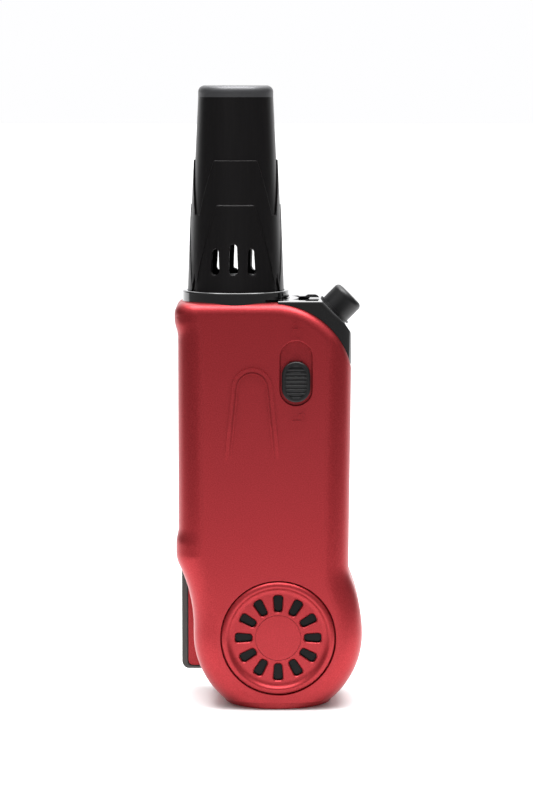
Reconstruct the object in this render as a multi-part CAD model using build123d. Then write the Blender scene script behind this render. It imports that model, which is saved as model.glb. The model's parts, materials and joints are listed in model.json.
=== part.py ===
from build123d import *
from math import acos, asin, cos, degrees, hypot, pi, radians, sin, sqrt, tan
import os

# Handheld butane torch, in millimetres. It stands on the XY plane with the origin under the middle of its round
# base. +X is the side of the igniter button, the face with the round grille looks along -Y, and +Z is up.

# Red two-part body.
body_top = 108.6
body_depth = 31.2
base_lip = 2.0
ball_radius = 22.6
ball_height = 19.5
shoulder_x = -27.5
grip_x = -26.6
hip_x = -27.25
hip_height = 41.8
right_lean = 0.6
side_round = 7.0
top_round = 3.0
wall = 1.8
base_radius = 14.4
neck_radius = 12.3
fit_gap = 0.1

# The corner over which the black top insert sits.
shoulder_radius = 21.4
shoulder_centre = (-1.6, body_top - shoulder_radius)

# Burner, collar and guard, on one vertical axis.
burner_x = -11.3
collar_radius = 14.3
collar_top = body_top + 2.8
guard_foot = collar_top - 0.7
guard_foot_radius = 12.55
guard_mouth_radius = 10.0
guard_top = body_top + 57.2
lip_foot = guard_top - 3.1
lip_bore = 7.7
guard_wall = 0.6
sleeve_wall = 0.38
crown_top = guard_foot + 35.4
crown_valley = guard_foot + 20.9
crown_half_angle = 30.0
valley_half_angle = 6.0
teeth = 3

# Top insert, igniter and flame lever.
deck_height = body_top + 0.6
insert_half_depth = body_depth / 2 - 2.2
facet_foot = (15.0, body_top - 2.8)
button_radius = 4.45
button_length = 6.1
button_travel = 4.0
button_gap = 0.12
button_skirt = 3.4
piezo_radius = button_radius - 1.55
piezo_top = 11.0
piezo_foot = 26.0
lever_reach = 19.4
lever_low = body_top - 2.3
lever_high = lever_low + 1.4
lever_swing = 20.0

# Lock slider on the front.
lock_x = 4.7
lock_height = body_top - 20.5
knob_width = 7.55
knob_length = 10.8
track_width = 8.3
track_low = lock_height - 6.3
track_high = lock_height + 10.7
track_depth = 1.0
lock_travel = 5.0

# Round grille.
grille_radius = 15.2
grille_gap = 0.15
slot_outer = grille_radius - 3.7
slot_inner = slot_outer - 4.6
grille_cap_radius = slot_inner - 0.9
slot_count = 12
grille_proud = 0.6

# Fold-out foot behind the body.
foot_left = -26.5
foot_right = 17.6
foot_low = 4.9
foot_high = 56.8
foot_thick = 2.4
foot_gap = 0.5
foot_side_border = 1.5
foot_end_border = 0.86
foot_groove = 0.3
foot_corner = 2.4
lug_inner = 6.2
lug_outer = 8.2
hinge_pin_radius = 0.55
running_gap = 0.05

# Fuel tank and valves.
tank_gap = 2.2
tank_wall = 1.4
tank_low = base_lip + 4.4
tank_high = body_top - 45.8
tank_front = -body_depth / 2 + 7.0
tank_cap = 2.0
valve_radius = 3.2
valve_high = tank_high + 8.0
stem_radius = 1.1
port_radius = 5.0
port_depth = 2.2
refill_travel = 1.2

half_depth = body_depth / 2
foot_near = half_depth + foot_gap
foot_far = foot_near + foot_thick
hinge_y = foot_near + foot_thick / 2
hinge_z = foot_low + foot_thick / 2

os.makedirs("parts", exist_ok=True)


def write(name, shape):
    export_step(shape, f"parts/{name}.step")


def slab(sketch, near, far):
    """A prism of an X-Z outline between two depths, near and far, along Y."""
    return extrude(Plane.XZ.offset(-far) * sketch, far - near)


def post(radius, low, high, x=0.0, y=0.0):
    """A vertical cylinder."""
    return Pos(x, y, low) * Cylinder(radius, high - low, align=(Align.CENTER, Align.CENTER, Align.MIN))


def tube(outer, inner, low, high, x=0.0, y=0.0):
    """A vertical tube."""
    return post(outer, low, high, x, y) - post(inner, low - 1, high + 1, x, y)


def frustum(foot_radius, top_radius, low, high, x=0.0):
    """A vertical cone between two heights."""
    return Pos(x, 0, low) * Cone(foot_radius, top_radius, high - low, align=(Align.CENTER, Align.CENTER, Align.MIN))


def stub(radius, near, far, x, z):
    """A cylinder along Y."""
    return slab(Pos(x, z) * Circle(radius), near, far)


def bar(radius, left, right, y, z):
    """A cylinder along X."""
    turned = Plane(origin=(left, y, z), z_dir=(1, 0, 0))
    return turned * Cylinder(radius, right - left, align=(Align.CENTER, Align.CENTER, Align.MIN))


def coil(plane, radius, wire, height, turns):
    """A round-wire compression spring that stands on a plane, with its wire inside the height."""
    path = Helix(pitch=(height - 2 * wire) / turns, height=height - 2 * wire, radius=radius)
    section = Plane(origin=path @ 0, z_dir=path % 0) * Circle(wire)
    return plane * Pos(0, 0, wire) * sweep(section, path=path, is_frenet=True)


push_plane = Plane(origin=(facet_foot[0], 0, facet_foot[1]), x_dir=(0, 1, 0), z_dir=(1, 0, 1))


def push_post(radius, low, high):
    """A cylinder on the igniter's slanting axis: heights run outwards from the facet."""
    return push_plane * Pos(0, 0, low) * Cylinder(radius, high - low, align=(Align.CENTER, Align.CENTER, Align.MIN))


# ---------------------------------------------------------------- body envelope


def body_outline():
    """Front view of the body: ball, waist, straight grip and square top, anticlockwise from the ball."""
    side_radius = 8.0
    base_angle = degrees(asin((ball_height - base_lip) / ball_radius))
    flare_angle = 22.3
    with BuildLine() as line:
        ball_right = CenterArc((0, ball_height), ball_radius, -base_angle, base_angle)
        flare = JernArc(ball_right @ 1, ball_right % 1, 38, flare_angle)
        waist = JernArc(flare @ 1, flare % 1, 12, -(flare_angle + right_lean))
        rise = body_top - (waist @ 1).Y
        right = Line(waist @ 1, (waist @ 1) + Vector(rise * tan(radians(right_lean)), rise))
        top = Line(right @ 1, (shoulder_x, body_top))
        shoulder = Line(top @ 1, (shoulder_x, body_top - 4.2))
        shoulder_turn = degrees(acos(1 - (grip_x - shoulder_x) / (2 * side_radius)))
        shoulder_out = JernArc(shoulder @ 1, (0, -1), side_radius, shoulder_turn)
        shoulder_in = JernArc(shoulder_out @ 1, shoulder_out % 1, side_radius, -shoulder_turn)
        hip_turn = degrees(acos(1 - (grip_x - hip_x) / (2 * side_radius)))
        hip_rise = 2 * side_radius * sin(radians(hip_turn))
        grip = Line(shoulder_in @ 1, (grip_x, hip_height + 2.2 + hip_rise))
        hip_in = JernArc(grip @ 1, (0, -1), side_radius, -hip_turn)
        hip_out = JernArc(hip_in @ 1, hip_in % 1, side_radius, hip_turn)
        hip = Line(hip_out @ 1, (hip_x, hip_height))
        hip_angle = 26.0
        tuck = JernArc(hip @ 1, (0, -1), side_radius, hip_angle)
        sweep_radius = (-ball_radius - (tuck @ 1).X) / (1 - cos(radians(hip_angle)))
        sweep_in = JernArc(tuck @ 1, tuck % 1, sweep_radius, -hip_angle)
        ball_side = Line(sweep_in @ 1, (-ball_radius, ball_height))
        ball_left = CenterArc((0, ball_height), ball_radius, 180, base_angle)
        Line(ball_left @ 1, ball_right @ 0)
    return make_face(line.edges())


def shoulder_cutter(inset):
    """Everything outside the rounded right shoulder."""
    corner = Rectangle(60, 60, align=(Align.MIN, Align.MIN)) - Circle(shoulder_radius - inset)
    return slab(Pos(*shoulder_centre) * corner, -half_depth - 10, half_depth + 10)


def long_uprights(solid, depth):
    """The straight vertical edges of the grip, front and back."""
    lines = solid.edges().filter_by(GeomType.LINE)
    return [e for e in lines if e.length > 30 and abs(abs(e.center().Y) - depth) < 0.01 and abs((e % 0).Z) > 0.9]


def body_solid(inset):
    """The body's outer form, or the same form drawn in by a wall."""
    depth = half_depth - inset
    outline = body_outline()
    if inset:
        outline = offset(outline, -inset, kind=Kind.INTERSECTION)
    solid = slab(outline, -depth, depth)
    for side in (1, -1):
        for face in (-1, 1):
            edges = [e for e in long_uprights(solid, depth) if e.center().Y * face > 0]
            corner = max(edges, key=lambda e: side * e.center().X)
            solid = fillet([corner], side_round - inset)
    solid -= shoulder_cutter(inset)
    if inset < top_round - 0.5:
        rim = solid.faces().sort_by(Axis.Z)[-1].edges()
        ends = [e for e in rim if e.center().X < shoulder_centre[0] - 1]
        solid = fillet(ends, top_round - inset)
    return solid


def lever_room(gap):
    """The flat sector in which the flame lever swings."""
    sector = Circle(lever_reach + gap) - Circle(0.1)
    reach = lever_reach + gap
    half = radians(lever_swing + 16)
    wedge = Polyline((0, 0), (2 * reach, -2 * reach * tan(half)), (2 * reach, 2 * reach * tan(half)), close=True)
    plan = Circle(reach) & make_face(wedge)
    low = lever_low - gap
    return extrude(Pos(burner_x, 0, low) * plan, lever_high - lever_low + 2 * gap)


outer = body_solid(0)
inner = body_solid(wall)

# ---------------------------------------------------------------- screws that hold the two halves

screw_places = [(-20.6, body_top - 12.8), (-21.4, body_top - 40.6), (13.6, body_top - 38.8)]
screw_radius = 1.1
screw_head_radius = 2.0
screw_head = 1.5
screw_seat = half_depth - 3.0
screw_tip = -half_depth + 6.6
boss_radius = 2.6
boss_root = 0.3
screws = []
for x, z in screw_places:
    head = stub(screw_head_radius, screw_seat, screw_seat + screw_head, x, z)
    drive = slab(Pos(x, z) * RegularPolygon(1.0, 6), screw_seat + screw_head - 0.8, screw_seat + screw_head + 1)
    screws.append(stub(screw_radius, screw_tip, screw_seat, x, z) + head - drive)
write("shell_screws", Compound(children=screws))

# ---------------------------------------------------------------- front and rear shells

mount_radius = 11.0
neck_top = base_lip + wall + 1.6
cup_radius = grille_radius + grille_gap + 1.3
cup_seat = -half_depth + 2.8
cup_back = cup_seat + 1.1
sleeve_radius = button_radius + button_gap + 1.0

seam_depth = 0.3
seam_half_width = 0.12
middle = body_outline()
middle = fillet(middle.vertices().sort_by(Axis.X)[:2].sort_by(Axis.Y)[-1], top_round)
beyond_shoulder = Rectangle(60, 60, align=(Align.MIN, Align.MIN)) - Circle(shoulder_radius)
middle -= Pos(*shoulder_centre) * beyond_shoulder
seam = slab(middle - offset(middle, -seam_depth, kind=Kind.INTERSECTION), -seam_half_width, seam_half_width)
shell = outer - inner - seam
shell -= post(mount_radius + fit_gap, body_top - 10, body_top + 10, burner_x)
shell -= post(neck_radius + fit_gap, -5, neck_top + 1)
shell -= lever_room(0.5)
shell -= push_post(sleeve_radius + fit_gap, -12, 10)


def screw_bosses(near, far):
    """The screw posts between two depths."""
    posts = [stub(boss_radius, near, far, x, z) for x, z in screw_places]
    return posts[0] + posts[1] + posts[2]


front = shell & Pos(0, -50, 60) * Box(200, 100, 400)
front += screw_bosses(-half_depth + wall - boss_root, 0)
front += stub(cup_radius, -half_depth + wall - boss_root, cup_back, 0, ball_height)
front -= post(neck_radius + fit_gap, -5, neck_top + fit_gap)
front -= stub(grille_radius + grille_gap, -half_depth - 5, cup_seat, 0, ball_height)
front -= stub(grille_radius - 2.0, -half_depth - 5, cup_back + 5, 0, ball_height)
for x, z in screw_places:
    front -= stub(screw_radius, screw_tip, 1, x, z)

# Lock track: a stadium pocket with a thicker floor behind it and a slot for the slider's stem.
track_middle = (track_low + track_high) / 2
track_length = track_high - track_low
slot_half_width = 1.6
stem_half_height = 1.25
stem_drop = 1.2
track = Pos(lock_x, track_middle) * Rot(0, 0, 90) * SlotOverall(track_length, track_width)
track_floor = Pos(lock_x, track_middle) * Rot(0, 0, 90) * SlotOverall(track_length + 2, track_width + 2)
front += slab(track_floor, -half_depth + track_depth, -half_depth + wall + 0.4)
front -= slab(track, -half_depth - 5, -half_depth + track_depth)
slot_low = lock_height - stem_drop - stem_half_height - 0.2
slot_high = lock_height - stem_drop + stem_half_height + lock_travel + 0.2
track_rim = [
    e for e in front.edges()
    if abs(e.center().Y + half_depth) < 0.01 and abs(e.center().X - lock_x) < track_width
    and track_low - 1 < e.center().Z < track_high + 1
]
front = fillet(track_rim, 0.3)
cup_mouth = [
    e for e in front.edges().filter_by(GeomType.CIRCLE)
    if abs(e.center().Y + half_depth) < 0.01 and abs(e.radius - grille_radius - grille_gap) < 0.01
]
front = fillet(cup_mouth, 0.2)
stem_slot = Pos(lock_x, (slot_low + slot_high) / 2) * Rectangle(2 * slot_half_width + 0.3, slot_high - slot_low)
front -= slab(stem_slot, -half_depth - 5, 0)

# Arch in relief: two lines that follow an arch and sink into the face towards their feet.
arch_x = -6.9
arch_round = 5.35
arch_top = body_top - 16.9
arch_lean = 5.8
arch_foot = arch_top - 24.4
arch_height = 0.5


def arch_region(inset):
    """The inside of the arch, drawn in by an inset, down to its feet."""
    radius = arch_round - inset
    centre = (arch_x, arch_top - arch_round)
    lean = radians(arch_lean)
    side_x = radius * cos(lean)
    side_z = centre[1] + radius * sin(lean)
    foot_x = side_x + (side_z - arch_foot) * tan(lean)
    with BuildLine() as line:
        ThreePointArc((arch_x - side_x, side_z), (arch_x, centre[1] + radius), (arch_x + side_x, side_z))
        Polyline(
            (arch_x + side_x, side_z), (arch_x + foot_x, arch_foot), (arch_x - foot_x, arch_foot),
            (arch_x - side_x, side_z),
        )
    return make_face(line.edges())


fade_start = arch_top - 15.0
relief_wedge = Polyline(
    (-half_depth + 0.5, arch_foot - 1), (-half_depth, arch_foot), (-half_depth - arch_height, fade_start),
    (-half_depth - arch_height, arch_top + 2), (-half_depth + 0.5, arch_top + 2), close=True,
)
relief_zone = extrude(Plane.YZ.offset(arch_x) * make_face(relief_wedge), 12, both=True)
for outer_inset, inner_inset in ((0.0, 0.95), (1.35, 1.75)):
    band = slab(arch_region(outer_inset) - arch_region(inner_inset), -half_depth - 1, -half_depth + 0.5)
    front += band & relief_zone

# Closed and open padlock signs above and below the track.
sign_height = 0.3


def padlock(z, lift, turn):
    """A padlock sign: a body and a shackle, which is lifted and turned aside when open."""
    case = Pos(lock_x, z) * RectangleRounded(2.5, 1.9, 0.3)
    shackle = Circle(0.95) - Circle(0.55)
    shackle &= Pos(0, 1) * Rectangle(4, 2)
    legs = Pos(0.75, -0.4) * Rectangle(0.4, 0.9) + Pos(-0.75, -0.4 + lift) * Rectangle(0.4, 0.9 - 2 * lift)
    top = Pos(lock_x + turn, z + 1.55 + lift) * (shackle + legs)
    return slab(case + top, -half_depth - sign_height, -half_depth + 0.5)


front += padlock(track_high + 2.4, 0, 0)
front += padlock(track_low - 4.9, 0.35, 1.5)
write("front_shell", front)

rear = shell & Pos(0, 50, 60) * Box(200, 100, 400)
rear += screw_bosses(0, half_depth - wall + boss_root)
for x, z in screw_places:
    rear -= stub(screw_radius + 0.15, -1, half_depth, x, z)
    rear -= stub(screw_head_radius + 0.2, screw_seat, half_depth + 5, x, z)
lug_radius = foot_thick / 2 + 0.3
lug_spans = ((-lug_outer, -lug_inner), (lug_inner, lug_outer))
for left, right in lug_spans:
    foot_of_lug = Pos((left + right) / 2, hinge_y / 2 + half_depth / 2 - wall / 4, hinge_z)
    rear += foot_of_lug * Box(right - left, hinge_y - half_depth + wall / 2, 2 * lug_radius)
    rear += bar(lug_radius, left, right, hinge_y, hinge_z)
rear -= bar(hinge_pin_radius, -lug_outer - 1, lug_outer + 1, hinge_y, hinge_z)
write("rear_shell", rear)

# ---------------------------------------------------------------- base

base = post(base_radius, 0, base_lip) + post(neck_radius, base_lip, neck_top)
base = fillet(base.edges().sort_by(Axis.Z)[0], 0.3)
base -= post(port_radius, -1, port_depth)
base -= post(2.3, -1, 10)
write("base_cap", base)

# ---------------------------------------------------------------- grille


def turned(face, x=0.0, z=ball_height):
    """A solid turned about an axis along Y: the face is drawn in radius and depth."""
    plane = Plane(origin=(x, 0, z), x_dir=(1, 0, 0), z_dir=(0, 0, 1))
    return revolve(plane * face, axis=Axis((x, 0, z), (0, 1, 0)))


rim_front = -half_depth - grille_proud
dish_front = -half_depth + 0.35
grille_thick = 1.7
cap_seat = 0.7
dish_edge = slot_outer + 0.35
crest = (grille_radius - 1.5, rim_front)
rim_foot = (grille_radius, rim_front + 1.1)
with BuildLine() as rim_line:
    Line((0, dish_front), (dish_edge, dish_front))
    Spline((dish_edge, dish_front), crest, rim_foot, tangents=((1, 0), (0.15, 1)))
    Polyline(
        rim_foot, (grille_radius, cup_seat), (slot_outer + 1.1, cup_seat),
        (slot_outer + 1.1, dish_front + grille_thick), (0, dish_front + grille_thick), (0, dish_front),
    )
disc = turned(make_face(rim_line.edges()))


def vent(inner_width, outer_width, inner_reach, outer_reach):
    """One radial slot of the grille, wider at its outer end, pointing up from the centre."""
    corners = Polyline(
        (-inner_width / 2, inner_reach), (inner_width / 2, inner_reach),
        (outer_width / 2, outer_reach), (-outer_width / 2, outer_reach), close=True,
    )
    shape = make_face(corners)
    return fillet(shape.vertices(), 0.42 * inner_width)


slot_pitch = 2 * pi * slot_inner / slot_count
slot_width = 0.57 * slot_pitch
slot_flare = 0.7
for step in range(slot_count):
    turn = Rot(0, 0, 360 / slot_count * step)
    opening = vent(slot_width, slot_width + slot_flare, slot_inner, slot_outer)
    disc -= slab(Pos(0, ball_height) * turn * opening, -half_depth - 5, 0)
mouths = [
    e for e in disc.edges()
    if abs(e.center().Y - dish_front) < 0.01
    and slot_inner - 0.1 < hypot(e.center().X, e.center().Z - ball_height) < slot_outer + 0.1
]
disc = chamfer(mouths, 0.25)
disc -= stub(grille_cap_radius + fit_gap, -half_depth - 5, dish_front + cap_seat, 0, ball_height)
write("grille_disc", disc)
write("grille_cap", stub(grille_cap_radius, dish_front, dish_front + cap_seat, 0, ball_height))

backing = stub(slot_outer + 0.9, dish_front + grille_thick, cup_back - 0.1, 0, ball_height)
for step in range(slot_count):
    turn = Rot(0, 0, 360 / slot_count * step)
    boss = vent(slot_width - 0.6, slot_width + slot_flare - 0.6, slot_inner + 0.3, slot_outer - 0.3)
    backing += slab(Pos(0, ball_height) * turn * boss, dish_front + 1.1, dish_front + grille_thick + 0.2)
write("grille_backing", backing)

# ---------------------------------------------------------------- burner mount, collar, guard

jet_holder_radius = 4.5
burner_radius = 5.0
burner_seat = body_top - 0.6
lever_hub_radius = 5.5
mount = post(mount_radius, body_top - 7.8, body_top, burner_x)
mount -= post(jet_holder_radius, body_top - 20, body_top + 10, burner_x)
mount -= post(burner_radius, burner_seat, body_top + 10, burner_x)
mount -= lever_room(0.5)
mount -= post(lever_hub_radius + 0.3, lever_low - 0.5, lever_high + 0.5, burner_x)
ceramic_y = 6.95
ceramic_radius = 1.1
mount -= post(ceramic_radius, body_top - 20, body_top + 10, burner_x, ceramic_y)
write("burner_mount", mount)

sleeve_foot_radius = guard_foot_radius + sleeve_wall
collar_wall_inner = sleeve_foot_radius + fit_gap
collar = post(collar_radius, body_top - 1.2, collar_top, burner_x)
collar = fillet(collar.edges().sort_by(Axis.Z)[-1], 0.45)
collar -= outer
collar -= Pos(burner_x, 0, 0) * Box(60, 2 * (half_depth - top_round), 2 * body_top)
collar -= post(collar_wall_inner, guard_foot, collar_top + 5, burner_x)
collar -= post(8.2, body_top - 5, collar_top + 5, burner_x)
write("collar_ring", collar)


def guard_radius(height):
    """Outer radius of the tapered tube at a height."""
    share = (height - guard_foot) / (lip_foot - guard_foot)
    return guard_foot_radius + (guard_mouth_radius - guard_foot_radius) * share


def guard_slots():
    """Three slots near the foot, front and back."""
    spread = 23.0
    offset_angle = -2.5
    cutters = []
    for side in (0, 180):
        for place in (-1, 0, 1):
            top = guard_foot + (13.4 if place == 0 else 12.2)
            with BuildSketch() as shape:
                with Locations((0, guard_foot + 6.45)):
                    Circle(1.2)
                with Locations((0, top - 0.95)):
                    Circle(0.95)
                make_hull()
            cutter = slab(shape.sketch, -30, -2)
            cutters.append(Pos(burner_x, 0, 0) * Rot(0, 0, side + offset_angle + spread * place) * cutter)
    return cutters


def crown_cutters(top, valley, top_half_angle, radius):
    """The three V-shaped gaps between the crown's teeth."""
    gap_half_angle = 180 / teeth - top_half_angle
    low_half = radius * sin(radians(valley_half_angle))
    high_half = radius * sin(radians(gap_half_angle))
    grow = (high_half - low_half) / (top - valley)
    beyond = 3.0
    outline = Polyline(
        (-low_half, valley), (low_half, valley), (high_half + grow * beyond, top + beyond),
        (-high_half - grow * beyond, top + beyond), close=True,
    )
    cutter = slab(make_face(outline), -30, -0.5)
    return [Pos(burner_x, 0, 0) * Rot(0, 0, 180 / teeth + 360 / teeth * n) * cutter for n in range(teeth)]


flame_tube = frustum(guard_foot_radius, guard_mouth_radius, guard_foot, lip_foot, burner_x)
flame_tube -= frustum(
    guard_foot_radius - guard_wall, guard_mouth_radius - guard_wall, guard_foot, lip_foot, burner_x
)
sleeve = frustum(
    sleeve_foot_radius, guard_radius(crown_top) + sleeve_wall, guard_foot, crown_top, burner_x
)
for cutter in crown_cutters(crown_top, crown_valley, crown_half_angle, guard_radius(crown_top)):
    sleeve -= cutter
panel_top = guard_foot + 23.6
panel_fade = guard_foot + 2.1
panel_height = 0.24
panel = frustum(
    guard_radius(panel_fade) + sleeve_wall, guard_radius(panel_top) + sleeve_wall + panel_height,
    panel_fade, panel_top, burner_x,
)
for cutter in crown_cutters(panel_top, panel_fade, 23.0, guard_radius(panel_top)):
    panel -= cutter
sleeve += panel
sleeve -= frustum(guard_foot_radius, guard_mouth_radius, guard_foot, lip_foot, burner_x)
notch = Polyline((-1.6, guard_foot - 1), (1.6, guard_foot - 1), (0, guard_foot + 5.1), close=True)
for n in range(teeth):
    turn = Rot(0, 0, 180 / teeth + 360 / teeth * n)
    sleeve -= Pos(burner_x, 0, 0) * turn * slab(make_face(notch), -30, -2)
for cutter in guard_slots():
    flame_tube -= cutter
    sleeve -= cutter
write("flame_tube", flame_tube)
write("guard_sleeve", sleeve)

lip = tube(guard_mouth_radius, lip_bore, lip_foot, guard_top, burner_x)
top_edges = lip.edges().group_by(Axis.Z)[-1].sort_by(SortBy.RADIUS)
lip = fillet(top_edges[-1], 1.75)
inner_top = lip.edges().filter_by(GeomType.CIRCLE).group_by(Axis.Z)[-1].sort_by(SortBy.RADIUS)[0]
lip = fillet(inner_top, 0.45)
write("guard_lip", lip)

# ---------------------------------------------------------------- burner

holder_low = body_top - 21.8
holder_high = body_top - 2.8
burner_top = body_top + 6.8
write("jet_holder", post(jet_holder_radius, holder_low, holder_high, burner_x) - post(1.2, 0, 200, burner_x))
write("jet", tube(1.2, 0.25, holder_high - 4, holder_high + 2.6, burner_x))
burner = tube(burner_radius, burner_radius - 0.5, burner_seat, burner_top, burner_x)
burner += tube(jet_holder_radius, 1.6, holder_high, burner_seat, burner_x)
burner += tube(burner_radius, 1.6, burner_seat, body_top + 0.2, burner_x)
for angle in (45, 135):
    hole = Pos(burner_x, 0, body_top + 2.4) * Rot(0, 0, angle) * Rot(90, 0, 0) * Cylinder(0.9, 30)
    burner -= hole
write("burner_tube", burner)
head = post(burner_radius - 0.5, burner_top - 1.6, burner_top - 0.3, burner_x)
head -= post(0.7, 0, 200, burner_x)
ports = 6
for n in range(ports):
    angle = radians(360 / ports * n)
    head -= post(0.55, 0, 200, burner_x + 2.7 * cos(angle), 2.7 * sin(angle))
write("burner_head", head)

# ---------------------------------------------------------------- top insert and igniter

right_x = 19.45
insert_face = Polyline(
    (burner_x + collar_radius - 3, deck_height),
    (facet_foot[0] + facet_foot[1] - deck_height, deck_height),
    (facet_foot[0] + 2.6, facet_foot[1] - 2.6),
    (right_x - 0.15, body_top - 7.9),
    (right_x, body_top - 16.2),
    (right_x - 12, body_top - 16.2),
    (burner_x + collar_radius - 3, deck_height - 6),
    close=True,
)
insert_sketch = make_face(insert_face)
insert_sketch = fillet([v for v in insert_sketch.vertices() if v.X > 11 and v.Y > body_top], 0.8)
flank = [v for v in insert_sketch.vertices() if v.X > 17 and body_top - 9.8 < v.Y < body_top - 4.8]
insert_sketch = fillet(flank, 1.8)
insert = slab(insert_sketch, -insert_half_depth, insert_half_depth)
rounded_side = Box(2 * right_x + 0.4, 2 * insert_half_depth, 60)
rounded_side = Pos(0, 0, body_top - 12.8) * fillet(rounded_side.edges().filter_by(Axis.Z), 5.2)
insert &= rounded_side
rims = [
    e for e in insert.edges()
    if abs(abs(e.center().Y) - insert_half_depth) < 0.01 and e.center().Z > body_top - 7.3 and e.center().X > 4
]
insert = fillet(rims, 0.5)
insert -= stub(shoulder_radius, -40, 40, *shoulder_centre)
insert -= post(collar_radius + fit_gap, body_top - 18, body_top + 12, burner_x)
insert += push_post(sleeve_radius, -9.0, -1.0)
insert -= lever_room(0.5)
insert -= push_post(button_radius + button_gap, -20, 20)
slot_low_radius = lever_reach - 2.2
lever_slot = Circle(lever_reach + 0.4) - Circle(slot_low_radius - 0.4)
slot_half = lever_swing + 5.5
slot_wedge = make_face(Polyline(
    (0, 0), (40, -40 * tan(radians(slot_half))), (40, 40 * tan(radians(slot_half))), close=True
))
insert -= Pos(burner_x, 0, lever_high) * extrude(lever_slot & slot_wedge, 10)
write("top_insert", insert)

bezel = push_post(button_radius + 0.55, 0, 0.5) - push_post(button_radius + button_gap, -2, 2)
write("button_bezel", bezel)

button = push_post(button_radius, -button_skirt, button_length)
button = fillet(button.faces().sort_by(Axis((0, 0, 0), (1, 0, 1)))[-1].edges(), 1.25)
button -= push_post(button_radius - 0.95, -button_skirt - 1, button_length - 1.6)
plunger_radius = piezo_radius - 1.4
plunger_tip = 14.5
button_core = push_post(plunger_radius + 0.7, button_length - 3.6, button_length - 1.6)
button_core -= push_post(plunger_radius, -20, button_length - 1.6)
write("igniter_button", button + button_core)
write("piezo_plunger", push_post(plunger_radius, -plunger_tip, button_length - 1.6))
piezo = push_post(piezo_radius, -piezo_foot, -piezo_top)
piezo -= push_post(plunger_radius + running_gap, -plunger_tip - button_travel - 0.5, -piezo_top + 1)
write("piezo_body", piezo)
cradle = push_post(piezo_radius + 1.1, -piezo_foot + 1, -piezo_foot + 6) - push_post(piezo_radius, -40, 0)
cradle_reach = half_depth - wall
cradle_arm = Pos(-0.3, cradle_reach / 2, body_top - 18.3) * Box(2.4, cradle_reach, 3)
cradle += cradle_arm - push_post(piezo_radius, -40, 0)
spring_seat = -piezo_top
spring_length = button_length - 1.6 - spring_seat
write("button_spring", coil(push_plane * Pos(0, 0, spring_seat), piezo_radius - 0.15, 0.3, spring_length, 7))

# Push bar: a strip of a tube beside the piezo unit, fixed to the button's skirt.
bar_inner = piezo_radius + 0.35
bar_outer = button_radius - 0.05
bar_end = 24.5
bar_width = 5.0
bar_sector = Rectangle(10, bar_width, align=(Align.MIN, Align.CENTER)) & (Circle(bar_outer) - Circle(bar_inner))
bar_plane = Plane(origin=push_plane.origin, x_dir=(1, 0, -1), z_dir=(1, 0, 1))
push_strip = bar_plane * Pos(0, 0, -bar_end) * extrude(bar_sector, bar_end - button_skirt)
write("push_bar", push_strip)
lane_gap = 0.3
lane_root = sqrt(bar_inner**2 - (bar_width / 2) ** 2) - lane_gap
bar_lane = Rectangle(10, bar_width + 2 * lane_gap, align=(Align.MIN, Align.CENTER))
cradle -= bar_plane * Pos(lane_root, 0, -bar_end - button_travel - 2) * extrude(bar_lane, 30)
write("piezo_cradle", cradle)

# ---------------------------------------------------------------- flame lever

lever = tube(lever_hub_radius, jet_holder_radius + running_gap, lever_low, lever_high, burner_x)
arm_start = lever_hub_radius - 0.4
lever += Pos(burner_x + arm_start, 0, lever_low) * Box(
    lever_reach - arm_start, 2.6, lever_high - lever_low, align=(Align.MIN, Align.CENTER, Align.MIN)
)
lever_top = deck_height + 0.25
lever += Pos(burner_x + slot_low_radius, 0, lever_low) * Box(
    lever_reach - slot_low_radius, 2.6, lever_top - lever_low + 0.2, align=(Align.MIN, Align.CENTER, Align.MIN)
)
tab_outline = Polyline(
    (5.5, lever_top), (11.0, lever_top), (10.6, lever_top + 0.55), (9.9, lever_top + 0.8),
    (8.0, lever_top + 0.8), (7.2, lever_top + 0.35), (5.5, lever_top + 0.3), close=True,
)
tab = slab(make_face(tab_outline), -2.4, 2.4)
lever += tab
write("flame_lever", lever)

# ---------------------------------------------------------------- lock slider

knob_back = -half_depth + track_depth - 0.15
knob_front = -half_depth - 1.5
knob_rim = 1.05


def knob_outline(inset):
    """The slider's stadium outline, drawn in by an inset."""
    return Pos(lock_x, lock_height) * Rot(0, 0, 90) * SlotOverall(knob_length - 2 * inset, knob_width - 2 * inset)


knob = slab(knob_outline(0), knob_front, knob_back)
knob = fillet(knob.faces().sort_by(Axis.Y)[0].edges(), 0.45)
knob -= slab(knob_outline(knob_rim), knob_front - 1, knob_front + 0.55)
ridge_pitch = 1.1
ridge_field = slab(knob_outline(knob_rim), knob_front - 1, knob_front + 0.7)
for n in range(-4, 5):
    ridge = Pos(lock_x, knob_front + 0.62, lock_height + ridge_pitch * n) * Rot(0, 90, 0) * Cylinder(0.42, knob_width)
    knob += ridge & ridge_field
stem_back = -half_depth + wall + 0.6
stem = Pos(lock_x, (knob_back + stem_back) / 2, lock_height - stem_drop)
knob += stem * Box(2 * slot_half_width, stem_back - knob_back, 2 * stem_half_height)
write("lock_slider", knob)
plate_back = stem_back + 1.2
lock_plate = Pos(lock_x, (stem_back + plate_back) / 2, lock_height - 0.5) * Box(7.0, plate_back - stem_back, 11.0)
finger_tip = -6.0
finger = Pos(lock_x + 2.3, (plate_back + finger_tip) / 2, lock_height + 3.3)
finger *= Box(1.8, finger_tip - plate_back, 1.8)
write("lock_plate", lock_plate + finger)

# ---------------------------------------------------------------- gas valve, lever, tube

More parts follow.
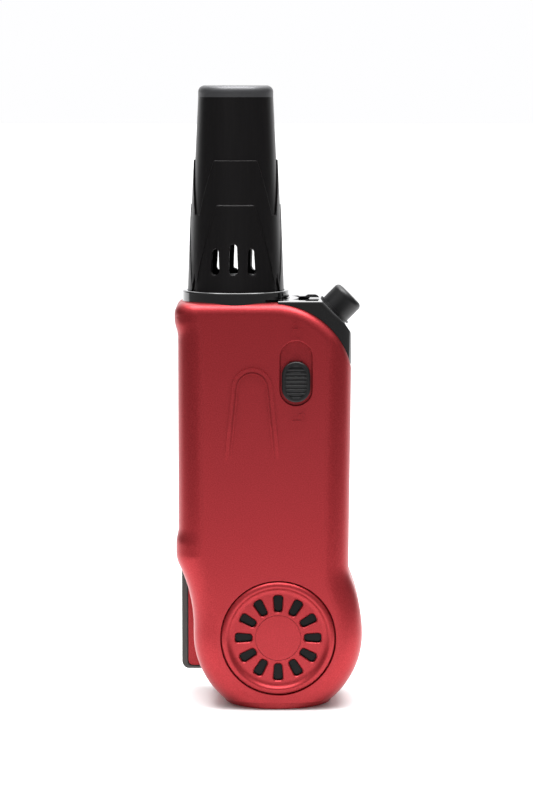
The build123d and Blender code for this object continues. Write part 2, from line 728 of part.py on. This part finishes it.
valve_x = burner_x
valve_body = tube(valve_radius, stem_radius + running_gap, tank_high - 4, valve_high, valve_x)
valve_body += tube(valve_radius + 1.2, valve_radius - 0.5, tank_high, tank_high + 1.4, valve_x)
outlet_z = tank_high + 4.5
nipple = Rot(0, -90, 0) * Cylinder(0.7, 1.2, align=(Align.CENTER, Align.CENTER, Align.MIN))
valve_body += Pos(valve_x - valve_radius + 0.3, 0, outlet_z) * nipple
chamber_low = tank_high + 2.0
chamber_high = tank_high + 7.0
valve_body -= post(2.3, chamber_low, chamber_high, valve_x)
write("valve_body", valve_body)
stem_top = tank_high + 14.0
flange_low = tank_high + 12.3
stem_collar = 0.75
valve_stem = post(stem_radius, tank_high - 2, stem_top, valve_x) + post(1.9, flange_low, flange_low + 0.8, valve_x)
valve_stem += post(2.1, chamber_low + 0.05, chamber_low + stem_collar, valve_x)
write("valve_stem", valve_stem)
spring_foot = chamber_low + stem_collar + 0.1
write("valve_spring", coil(Plane(origin=(valve_x, 0, spring_foot)), 1.7, 0.25, chamber_high - 0.1 - spring_foot, 4))
pivot = (-6.6, tank_high + 12.4)
fork_tip = (valve_x, tank_high + 10.2)
lever_tip = (-1.8, tank_high + 20.0)
lever_half = 0.65
with BuildSketch() as lever_shape:
    for start, end in ((fork_tip, pivot), (pivot, lever_tip)):
        with BuildSketch(mode=Mode.ADD):
            with Locations(start, end):
                Circle(lever_half)
            make_hull()
    with Locations(pivot):
        Circle(1.4)
gas_lever = slab(lever_shape.sketch, -3.4, 3.4)
fork_gap = stem_radius + 0.35
gas_lever -= post(fork_gap, tank_high, tank_high + 30, valve_x)
gas_lever -= Pos(valve_x - 5, 0, fork_tip[1]) * Box(10, 2 * fork_gap, 6)
pin_radius = 0.8
gas_lever -= stub(pin_radius + running_gap, -10, 10, *pivot)
write("gas_lever", gas_lever)
write("lever_pin", stub(pin_radius, -half_depth + wall, half_depth - wall, *pivot))

outlet_x = valve_x - valve_radius - 0.9
riser_x = outlet_x - 2.6
tube_turn = 1.6
tube_turn_z = holder_low - 4.5
gas_path = FilletPolyline(
    (outlet_x, 0, outlet_z), (riser_x, 0, outlet_z), (riser_x, 0, tube_turn_z), (burner_x, 0, tube_turn_z),
    (burner_x, 0, holder_low), radius=tube_turn,
)
gas_section = Plane(origin=gas_path @ 0, z_dir=gas_path % 0) * Circle(0.8)
write("gas_tube", sweep(gas_section, path=gas_path))

# ---------------------------------------------------------------- spark electrode and its wire

write("electrode_ceramic", tube(ceramic_radius, 0.4, body_top - 9.8, body_top + 3.7, burner_x, ceramic_y))
electrode_foot = body_top - 11.4
write("electrode", post(0.4, electrode_foot, body_top + 5.8, burner_x, ceramic_y))
piezo_end = push_plane.origin + push_plane.z_dir * -piezo_foot
lead_out = piezo_end + push_plane.z_dir * -1.6
wire_path = FilletPolyline(
    piezo_end, lead_out, (-5.2, 4.0, electrode_foot - 9.4), (-9.0, ceramic_y, electrode_foot - 5.9),
    (burner_x, ceramic_y, electrode_foot - 2.9), (burner_x, ceramic_y, electrode_foot), radius=0.9,
)
wire_section = Plane(origin=wire_path @ 0, z_dir=wire_path % 0) * Circle(0.55)
write("ignition_wire", sweep(wire_section, path=wire_path))

# ---------------------------------------------------------------- fuel tank

tank_inset = wall + tank_gap


def tank_form(inset):
    """The room for the tank: the body's outline drawn in far enough to clear the rounded corners inside."""
    return slab(offset(body_outline(), -inset, kind=Kind.INTERSECTION), -half_depth + inset, half_depth - inset)


tank_room = Box(80, 40, tank_high - tank_low, align=(Align.CENTER, Align.MIN, Align.MIN))
tank_block = tank_form(tank_inset) & Pos(0, tank_front, tank_low) * tank_room
tank_hollow = tank_form(tank_inset + tank_wall) & Pos(0, tank_front + tank_wall, tank_low + tank_wall) * tank_room
fuel_tank = tank_block - tank_hollow
fuel_tank -= post(valve_radius, 0, 10)
write("fuel_tank", fuel_tank)
lid = (tank_form(tank_inset) & Pos(0, tank_front, tank_high) * tank_room) & Box(100, 100, 2 * (tank_high + tank_cap))
lid -= post(valve_radius, 0, 100, valve_x)
lid -= post(valve_radius + 1.25, tank_high, 100, valve_x)
write("tank_lid", lid)
write("fuel_filter", post(1.8, tank_high - 12, tank_high - 4, valve_x))

refill_high = 13.0
refill = tube(valve_radius, stem_radius + running_gap, neck_top, refill_high)
refill -= post(2.0, 8.0, refill_high - 1)
write("refill_valve", refill)
refill_stem = post(stem_radius, port_depth + 0.4, refill_high - 1.0 - refill_travel - 0.2)
write("refill_stem", refill_stem)
write("refill_seal", tube(2.25, stem_radius + running_gap, port_depth + 0.6, neck_top))

# ---------------------------------------------------------------- fold-out foot

foot_width = foot_right - foot_left
foot_height = foot_high - foot_low
foot_x = (foot_right + foot_left) / 2
foot_z = (foot_high + foot_low) / 2
web = 0.8
panel_gap = 0.15
hinge_block = Rectangle(2 * lug_outer + 2.4, 2 * (hinge_z + 2.9))


def foot_outline(side, end, corner):
    """The foot's rounded outline, drawn in by its side and end borders."""
    return Pos(foot_x, foot_z) * RectangleRounded(foot_width - 2 * side, foot_height - 2 * end, corner)


plate = slab(foot_outline(0, 0, foot_corner), foot_near, foot_far)
plate = fillet(plate.faces().sort_by(Axis.Y)[0].edges() + plate.faces().sort_by(Axis.Y)[-1].edges(), 0.35)
knuckle = bar(foot_thick / 2, foot_left - 1, foot_right + 1, hinge_y, hinge_z)
upper_part = Pos(0, 0, hinge_z) * Box(100, 100, 100, align=(Align.CENTER, Align.CENTER, Align.MIN))
plate = (plate & upper_part) + (plate & knuckle)
pocket = foot_outline(foot_side_border, foot_end_border, foot_corner - 0.9) - hinge_block
pocket_depth = (foot_thick - web) / 2
plate -= slab(pocket, foot_near - 1, foot_near + pocket_depth)
plate -= slab(pocket, foot_far - pocket_depth, foot_far + 1)
lug_room = foot_thick / 2 + 0.7
lug_gap = 0.3
for left, right in lug_spans:
    room = Pos((left + right) / 2, hinge_y, hinge_z) * Box(right - left + 2 * lug_gap, 10, 2 * lug_room)
    plate -= room
plate -= bar(hinge_pin_radius + running_gap, -20, 20, hinge_y, hinge_z)
write("foot_frame", plate)
inlay_sketch = foot_outline(foot_side_border + foot_groove, foot_end_border + foot_groove, foot_corner - 1.1)
inlay_sketch -= Rectangle(2 * lug_outer + 2.4 + 2 * foot_groove, 2 * (hinge_z + 2.9 + foot_groove))
write("foot_inlay_front", slab(inlay_sketch, foot_near + panel_gap, foot_near + pocket_depth))
write("foot_inlay_rear", slab(inlay_sketch, foot_far - pocket_depth, foot_far - panel_gap))
write("foot_pin", bar(hinge_pin_radius, -lug_outer, lug_outer, hinge_y, hinge_z))
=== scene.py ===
import json
import math

import bmesh
import bpy
from mathutils import Matrix, Vector

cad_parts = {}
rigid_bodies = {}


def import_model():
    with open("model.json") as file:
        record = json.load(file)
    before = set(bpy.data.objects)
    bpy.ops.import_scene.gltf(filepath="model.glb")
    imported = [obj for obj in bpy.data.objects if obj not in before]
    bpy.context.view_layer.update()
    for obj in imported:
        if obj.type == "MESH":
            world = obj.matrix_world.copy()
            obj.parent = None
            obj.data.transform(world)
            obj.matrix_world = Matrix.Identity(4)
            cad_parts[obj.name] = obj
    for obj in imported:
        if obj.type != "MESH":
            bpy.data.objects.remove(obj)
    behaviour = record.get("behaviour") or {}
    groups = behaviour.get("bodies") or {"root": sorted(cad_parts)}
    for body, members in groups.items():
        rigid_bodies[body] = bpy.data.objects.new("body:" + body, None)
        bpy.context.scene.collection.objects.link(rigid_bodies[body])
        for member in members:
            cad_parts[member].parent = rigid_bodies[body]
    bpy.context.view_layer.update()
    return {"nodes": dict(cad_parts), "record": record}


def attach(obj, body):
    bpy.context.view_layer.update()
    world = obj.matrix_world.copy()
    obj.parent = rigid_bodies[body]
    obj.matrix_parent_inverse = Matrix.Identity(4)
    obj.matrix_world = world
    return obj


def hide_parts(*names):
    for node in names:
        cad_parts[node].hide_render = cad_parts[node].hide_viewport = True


bpy.ops.object.select_all(action="SELECT")
bpy.ops.object.delete()
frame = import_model()

# ---- The two body halves.
# Die-cast zinc shells, sprayed with a satin metallic red lacquer and screwed together from behind.
# The lacquer's clear layer turns the edges pale at a shallow angle, and its flake gives the face a fine grain.


def linear(hex_colour):
    """A linear RGBA colour from an sRGB hex value."""
    values = [int(hex_colour[n:n + 2], 16) / 255 for n in (1, 3, 5)]
    return [v / 12.92 if v <= 0.04045 else ((v + 0.055) / 1.055) ** 2.4 for v in values] + [1.0]


def add(tree, kind, links=None, **settings):
    """Adds a node: links go by socket name or number, from another node's output or as a plain value."""
    node = tree.nodes.new(kind)
    for name, value in settings.items():
        setattr(node, name, value)
    for name, value in (links or {}).items():
        socket = node.inputs[name]
        if isinstance(value, bpy.types.NodeSocket):
            tree.links.new(value, socket)
        else:
            socket.default_value = value
    return node


def finish_called(name, **values):
    """A material with one Principled shader whose plain values sit on its own sockets."""
    material = bpy.data.materials.new(name)
    material.use_nodes = True
    tree = material.node_tree
    shader = tree.nodes["Principled BSDF"]
    for socket, value in values.items():
        shader.inputs[socket.replace("_", " ")].default_value = value
    return material, tree, shader


def coordinates(tree, cells_per_metre):
    """Object coordinates scaled so that one noise cell is a real size."""
    place = add(tree, "ShaderNodeTexCoord").outputs["Object"]
    return add(tree, "ShaderNodeMapping", {"Vector": place, "Scale": (cells_per_metre,) * 3}).outputs["Vector"]


def bump_from(tree, shader, height, depth, strength=1.0):
    """Links a height to the shader's normal as a bump of a real depth in metres."""
    bump = add(tree, "ShaderNodeBump", {"Height": height, "Distance": depth, "Strength": strength})
    tree.links.new(bump.outputs["Normal"], shader.inputs["Normal"])
    return bump


# Flake about 0.3 mm across, coarser than real flake so that it shows, and orange peel some 2 mm apart.
red_lacquer, tree, shader = finish_called(
    "satin metallic red lacquer", Metallic=0.8, Roughness=0.4, Coat_Weight=0.12, Coat_Roughness=0.2,
)
flake = add(tree, "ShaderNodeTexNoise", {"Vector": coordinates(tree, 1 / 0.0003), "Scale": 1.0, "Detail": 1.0})
peel = add(tree, "ShaderNodeTexNoise", {"Vector": coordinates(tree, 1 / 0.002), "Scale": 1.0, "Detail": 1.0})
red = add(tree, "ShaderNodeValToRGB", {"Fac": flake.outputs["Fac"]})
red.color_ramp.elements[0].position = 0.35
red.color_ramp.elements[0].color = linear("#9A272C")
red.color_ramp.elements[1].position = 0.68
red.color_ramp.elements[1].color = linear("#AC3036")
tree.links.new(red.outputs["Color"], shader.inputs["Base Color"])
grain = add(tree, "ShaderNodeMath", {0: flake.outputs["Fac"], 1: 0.15}, operation="MULTIPLY")
height = add(tree, "ShaderNodeMath", {0: peel.outputs["Fac"], 1: grain.outputs[0]}, operation="ADD")
bump_from(tree, shader, height.outputs[0], 0.00004, 0.3)

for node in ("front_shell", "rear_shell", "base_cap", "grille_disc", "grille_cap"):
    frame["nodes"][node].data.materials[0] = red_lacquer

# ---- Collar and top insert.
# Glossy black moulded ABS: the collar is a ring clamped round the burner, the insert fills the cut corner.

black_gloss, tree, shader = finish_called(
    "gloss black moulded ABS", Roughness=0.06, IOR=1.58, Base_Color=linear("#0A0A0B"), Coat_Weight=1.0,
)
ripple = add(tree, "ShaderNodeTexNoise", {"Vector": coordinates(tree, 1 / 0.004), "Scale": 1.0, "Detail": 0.0})
bump_from(tree, shader, ripple.outputs["Fac"], 0.00003, 0.2)
for node in ("collar_ring", "top_insert", "flame_lever"):
    frame["nodes"][node].data.materials[0] = black_gloss

black_satin, tree, shader = finish_called(
    "satin black moulded nylon", Roughness=0.4, IOR=1.45, Base_Color=linear("#08080A"),
)
texture = add(tree, "ShaderNodeTexNoise", {"Vector": coordinates(tree, 1 / 0.0004), "Scale": 1.0, "Detail": 2.0})
bump_from(tree, shader, texture.outputs["Fac"], 0.00002, 0.4)
for node in ("igniter_button", "button_bezel", "lock_slider", "lock_plate", "push_bar"):
    frame["nodes"][node].data.materials[0] = black_satin

vent_black, tree, shader = finish_called(
    "smooth black polycarbonate", Roughness=0.3, IOR=1.25, Base_Color=linear("#050506"),
)
frame["nodes"]["grille_backing"].data.materials[0] = vent_black

foot_plastic, tree, shader = finish_called("matte grey moulded ABS", Roughness=0.55, Base_Color=linear("#4A4A48"))
texture = add(tree, "ShaderNodeTexNoise", {"Vector": coordinates(tree, 1 / 0.0005), "Scale": 1.0, "Detail": 2.0})
bump_from(tree, shader, texture.outputs["Fac"], 0.00003, 0.5)
frame["nodes"]["foot_frame"].data.materials[0] = foot_plastic
for node in ("foot_inlay_front", "foot_inlay_rear"):
    frame["nodes"][node].data.materials[0] = red_lacquer

# ---- Flame guard.
# A tapered steel tube with a crown-edged sleeve round its lower half, blackened, with faint draw lines.

black_steel, tree, shader = finish_called("blackened drawn steel", Metallic=0.6, Roughness=0.34)
place = add(tree, "ShaderNodeTexCoord").outputs["Object"]
drawn = add(tree, "ShaderNodeMapping", {"Vector": place, "Scale": (1 / 0.0008, 1 / 0.0008, 1 / 0.03)})
lines = add(tree, "ShaderNodeTexNoise", {"Vector": drawn.outputs["Vector"], "Scale": 1.0, "Detail": 2.0})
tint = add(tree, "ShaderNodeValToRGB", {"Fac": lines.outputs["Fac"]})
tint.color_ramp.elements[0].position = 0.3
tint.color_ramp.elements[0].color = linear("#151314")
tint.color_ramp.elements[1].position = 0.7
tint.color_ramp.elements[1].color = linear("#191718")
tree.links.new(tint.outputs["Color"], shader.inputs["Base Color"])
bump_from(tree, shader, lines.outputs["Fac"], 0.00001, 0.15)
for node in ("flame_tube", "guard_sleeve"):
    frame["nodes"][node].data.materials[0] = black_steel


def rounded_copy(node, width, sharpest, body, finish):
    """A merged copy of a pressed or moulded part, with a small round on its edges, that stands for the part."""
    mesh = frame["nodes"][node].data.copy()
    shape = bmesh.new()
    shape.from_mesh(mesh)
    bmesh.ops.remove_doubles(shape, verts=shape.verts, dist=0.000002)
    bmesh.ops.dissolve_limit(shape, angle_limit=math.radians(0.3), verts=shape.verts, edges=shape.edges)
    edges = [e for e in shape.edges if e.is_manifold and e.calc_face_angle() > math.radians(sharpest)]
    bmesh.ops.bevel(shape, geom=edges, offset=width, segments=2, profile=0.5, affect="EDGES", material=-1)
    for face in shape.faces:
        face.smooth = True
    new = bpy.data.meshes.new(node + " rounded")
    shape.to_mesh(new)
    shape.free()
    new.materials.append(finish)
    piece = bpy.data.objects.new(node + "_rounded", new)
    bpy.context.scene.collection.objects.link(piece)
    normals = piece.modifiers.new("even shading", "WEIGHTED_NORMAL")
    normals.keep_sharp = True
    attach(piece, body)
    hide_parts(node)
    return piece


crown_round = 0.00016
rounded_copy("guard_sleeve", crown_round, 35, "housing", black_steel)
lip_steel, tree, shader = finish_called(
    "rolled dark steel", Metallic=0.7, Roughness=0.42, Base_Color=linear("#565658"),
)
frame["nodes"]["guard_lip"].data.materials[0] = lip_steel

# ---- Inner works.
# Burner, valves, igniter unit, fuel tank and fasteners, between the halves. They are seen through the guard's
# mouth, its slots and the port in the base, or with the torch taken apart.


def turned_metal(name, colour, roughness):
    """A bright metal with the fine rings that a lathe or a drawing die leaves, here 0.15 mm apart."""
    metal, tree, shader = finish_called(name, Metallic=1.0, Roughness=roughness)
    place = add(tree, "ShaderNodeTexCoord").outputs["Object"]
    rings = add(tree, "ShaderNodeMapping", {"Vector": place, "Scale": (1 / 0.006, 1 / 0.006, 1 / 0.00015)})
    noise = add(tree, "ShaderNodeTexNoise", {"Vector": rings.outputs["Vector"], "Scale": 1.0, "Detail": 2.0})
    tones = {0: noise.outputs["Fac"], 6: linear(colour[0]), 7: linear(colour[1])}
    tone = add(tree, "ShaderNodeMix", tones, data_type="RGBA")
    tree.links.new(tone.outputs[2], shader.inputs["Base Color"])
    bump_from(tree, shader, noise.outputs["Fac"], 0.00001, 0.3)
    return metal


def moulded(name, colour, roughness, grain, **values):
    """A moulded or pressed material with a soft mottle and a grain of a real size in metres."""
    plastic, tree, shader = finish_called(name, Roughness=roughness, **values)
    noise = add(tree, "ShaderNodeTexNoise", {"Vector": coordinates(tree, 1 / grain), "Scale": 1.0, "Detail": 2.0})
    tones = {0: noise.outputs["Fac"], 6: linear(colour[0]), 7: linear(colour[1])}
    tone = add(tree, "ShaderNodeMix", tones, data_type="RGBA")
    tree.links.new(tone.outputs[2], shader.inputs["Base Color"])
    bump_from(tree, shader, noise.outputs["Fac"], grain * 0.1, 0.3)
    return plastic


inner_finishes = {
    "burner_steel": turned_metal("turned stainless steel", ("#B4B4B6", "#CBCBCC"), 0.28),
    "brass": turned_metal("turned brass", ("#B08A45", "#CBA35A"), 0.3),
    "copper_tube": turned_metal("drawn copper", ("#B56A48", "#C97F5C"), 0.3),
    "inner_plastic": moulded("glass-filled nylon", ("#1E1E20", "#2A2A2C"), 0.5, 0.0005),
    "tank_plastic": moulded("natural nylon", ("#BDBAAC", "#CECBBE"), 0.35, 0.002, Subsurface_Weight=0.1),
    "ceramic": moulded("glazed alumina", ("#E2DFD6", "#EFEDE6"), 0.2, 0.001),
    "wire_cover": moulded("white silicone", ("#D6D4D0", "#E4E2DE"), 0.5, 0.001),
    "felt": moulded("pressed wool felt", ("#C8C4B8", "#E0DDD3"), 0.95, 0.0003),
    "seal_rubber": moulded("black nitrile", ("#101010", "#1A1A1A"), 0.6, 0.0005),
}
for row in frame["record"]["subparts"]:
    if row["material_slot"] in inner_finishes:
        frame["nodes"][row["node"]].data.materials[0] = inner_finishes[row["material_slot"]]

# ---- Camera, floor and light.
# A matt white board under a white tent. To everything but the camera the board darkens ahead and aside, so that the
# sides have something darker to reflect.

floor_mesh = bpy.data.meshes.new("floor")
bm = bmesh.new()
bmesh.ops.create_circle(bm, cap_ends=True, radius=12.0, segments=64)
bm.to_mesh(floor_mesh)
bm.free()
floor = bpy.data.objects.new("floor", floor_mesh)
bpy.context.scene.collection.objects.link(floor)
board_white = 0.93
floor_finish, tree, shader = finish_called("matt white board", Roughness=0.85)
spot = add(tree, "ShaderNodeSeparateXYZ", {"Vector": add(tree, "ShaderNodeTexCoord").outputs["Object"]})
aside = add(tree, "ShaderNodeMath", {0: spot.outputs["X"]}, operation="ABSOLUTE")
back = add(tree, "ShaderNodeMath", {0: aside.outputs[0], 1: -0.75, 2: spot.outputs["Y"]}, operation="MULTIPLY_ADD")
ahead = add(
    tree, "ShaderNodeMapRange",
    {"Value": back.outputs[0], "From Min": -0.09, "From Max": -0.3, "To Min": board_white, "To Max": 0.1},
)
seen = add(tree, "ShaderNodeLightPath").outputs["Is Camera Ray"]
board = add(tree, "ShaderNodeMix", {0: seen, 2: ahead.outputs[0], 3: board_white}, data_type="FLOAT")
tree.links.new(board.outputs[0], shader.inputs["Base Color"])
floor.data.materials.append(floor_finish)

camera_data = bpy.data.cameras.new("camera")
camera_data.sensor_fit = "VERTICAL"
camera_data.sensor_height = 36.0
camera_data.lens = 133.2
camera_data.clip_end = 50
camera = bpy.data.objects.new("camera", camera_data)
camera.location = (-0.0031, -0.792, 0.1658)
aim = Vector((-0.0031, 0, 0.0816))
camera.rotation_euler = (aim - camera.location).to_track_quat("-Z", "Y").to_euler()
bpy.context.scene.collection.objects.link(camera)
bpy.context.scene.camera = camera


def softbox(name, place, target, width, height, power):
    """A rectangular area light that faces a point."""
    data = bpy.data.lights.new(name, "AREA")
    data.shape = "RECTANGLE"
    data.size = width
    data.size_y = height
    data.energy = power
    light = bpy.data.objects.new(name, data)
    light.location = place
    light.rotation_euler = (Vector(target) - Vector(place)).to_track_quat("-Z", "Y").to_euler()
    light.visible_camera = False
    bpy.context.scene.collection.objects.link(light)


softbox("top softbox", (0.0, -0.02, 0.62), (0, 0, 0.1), 0.6, 0.34, 5.5)
softbox("front softbox", (-0.5, -1.1, 0.65), (0, 0, 0.07), 0.5, 0.5, 0.4)
softbox("low front softbox", (-0.02, -0.34, 0.02), (0, 0, 0.03), 0.3, 0.08, 0.06)

sky_data = bpy.data.lights.new("overhead diffuser", "SUN")
sky_data.energy = 2.1
sky_data.angle = math.radians(70)
sky = bpy.data.objects.new("overhead diffuser", sky_data)
sky.rotation_euler = Vector((0.05, 0.45, 1.0)).to_track_quat("Z", "Y").to_euler()
bpy.context.scene.collection.objects.link(sky)

# The room is bright behind and above, dim in front and at the sides, and plain white to the camera.
world = bpy.data.worlds.new("white tent")
bpy.context.scene.world = world
world.use_nodes = True
tree = world.node_tree
direction = add(tree, "ShaderNodeTexCoord").outputs["Generated"]
parts = add(tree, "ShaderNodeSeparateXYZ", {"Vector": direction})
round_about = add(tree, "ShaderNodeMapRange", {"Value": parts.outputs["Y"], "From Min": -1.0, "From Max": 1.0})
behind = add(tree, "ShaderNodeValToRGB", {"Fac": round_about.outputs[0]})
steps = behind.color_ramp.elements
steps[0].position, steps[0].color = 0.0, (0.37, 0.37, 0.37, 1)
steps[1].position, steps[1].color = 0.48, (0.24, 0.24, 0.24, 1)
for position, grey in ((0.6, 0.05), (0.8, 0.05), (0.93, 1.1)):
    steps.new(position).color = (grey, grey, grey, 1)
above = add(tree, "ShaderNodeMapRange", {"Value": parts.outputs["Z"], "From Min": 0.35, "From Max": 0.9})
glow = add(tree, "ShaderNodeMath", {0: behind.outputs[0], 1: above.outputs[0]}, operation="ADD")
seen = add(tree, "ShaderNodeLightPath").outputs["Is Camera Ray"]
strength = add(tree, "ShaderNodeMix", {0: seen, 2: glow.outputs[0], 3: 1.0}, data_type="FLOAT")
background = tree.nodes["Background"]
background.inputs["Color"].default_value = linear("#FEFEFF")
tree.links.new(strength.outputs[0], background.inputs["Strength"])
bpy.context.scene.view_settings.view_transform = "Standard"
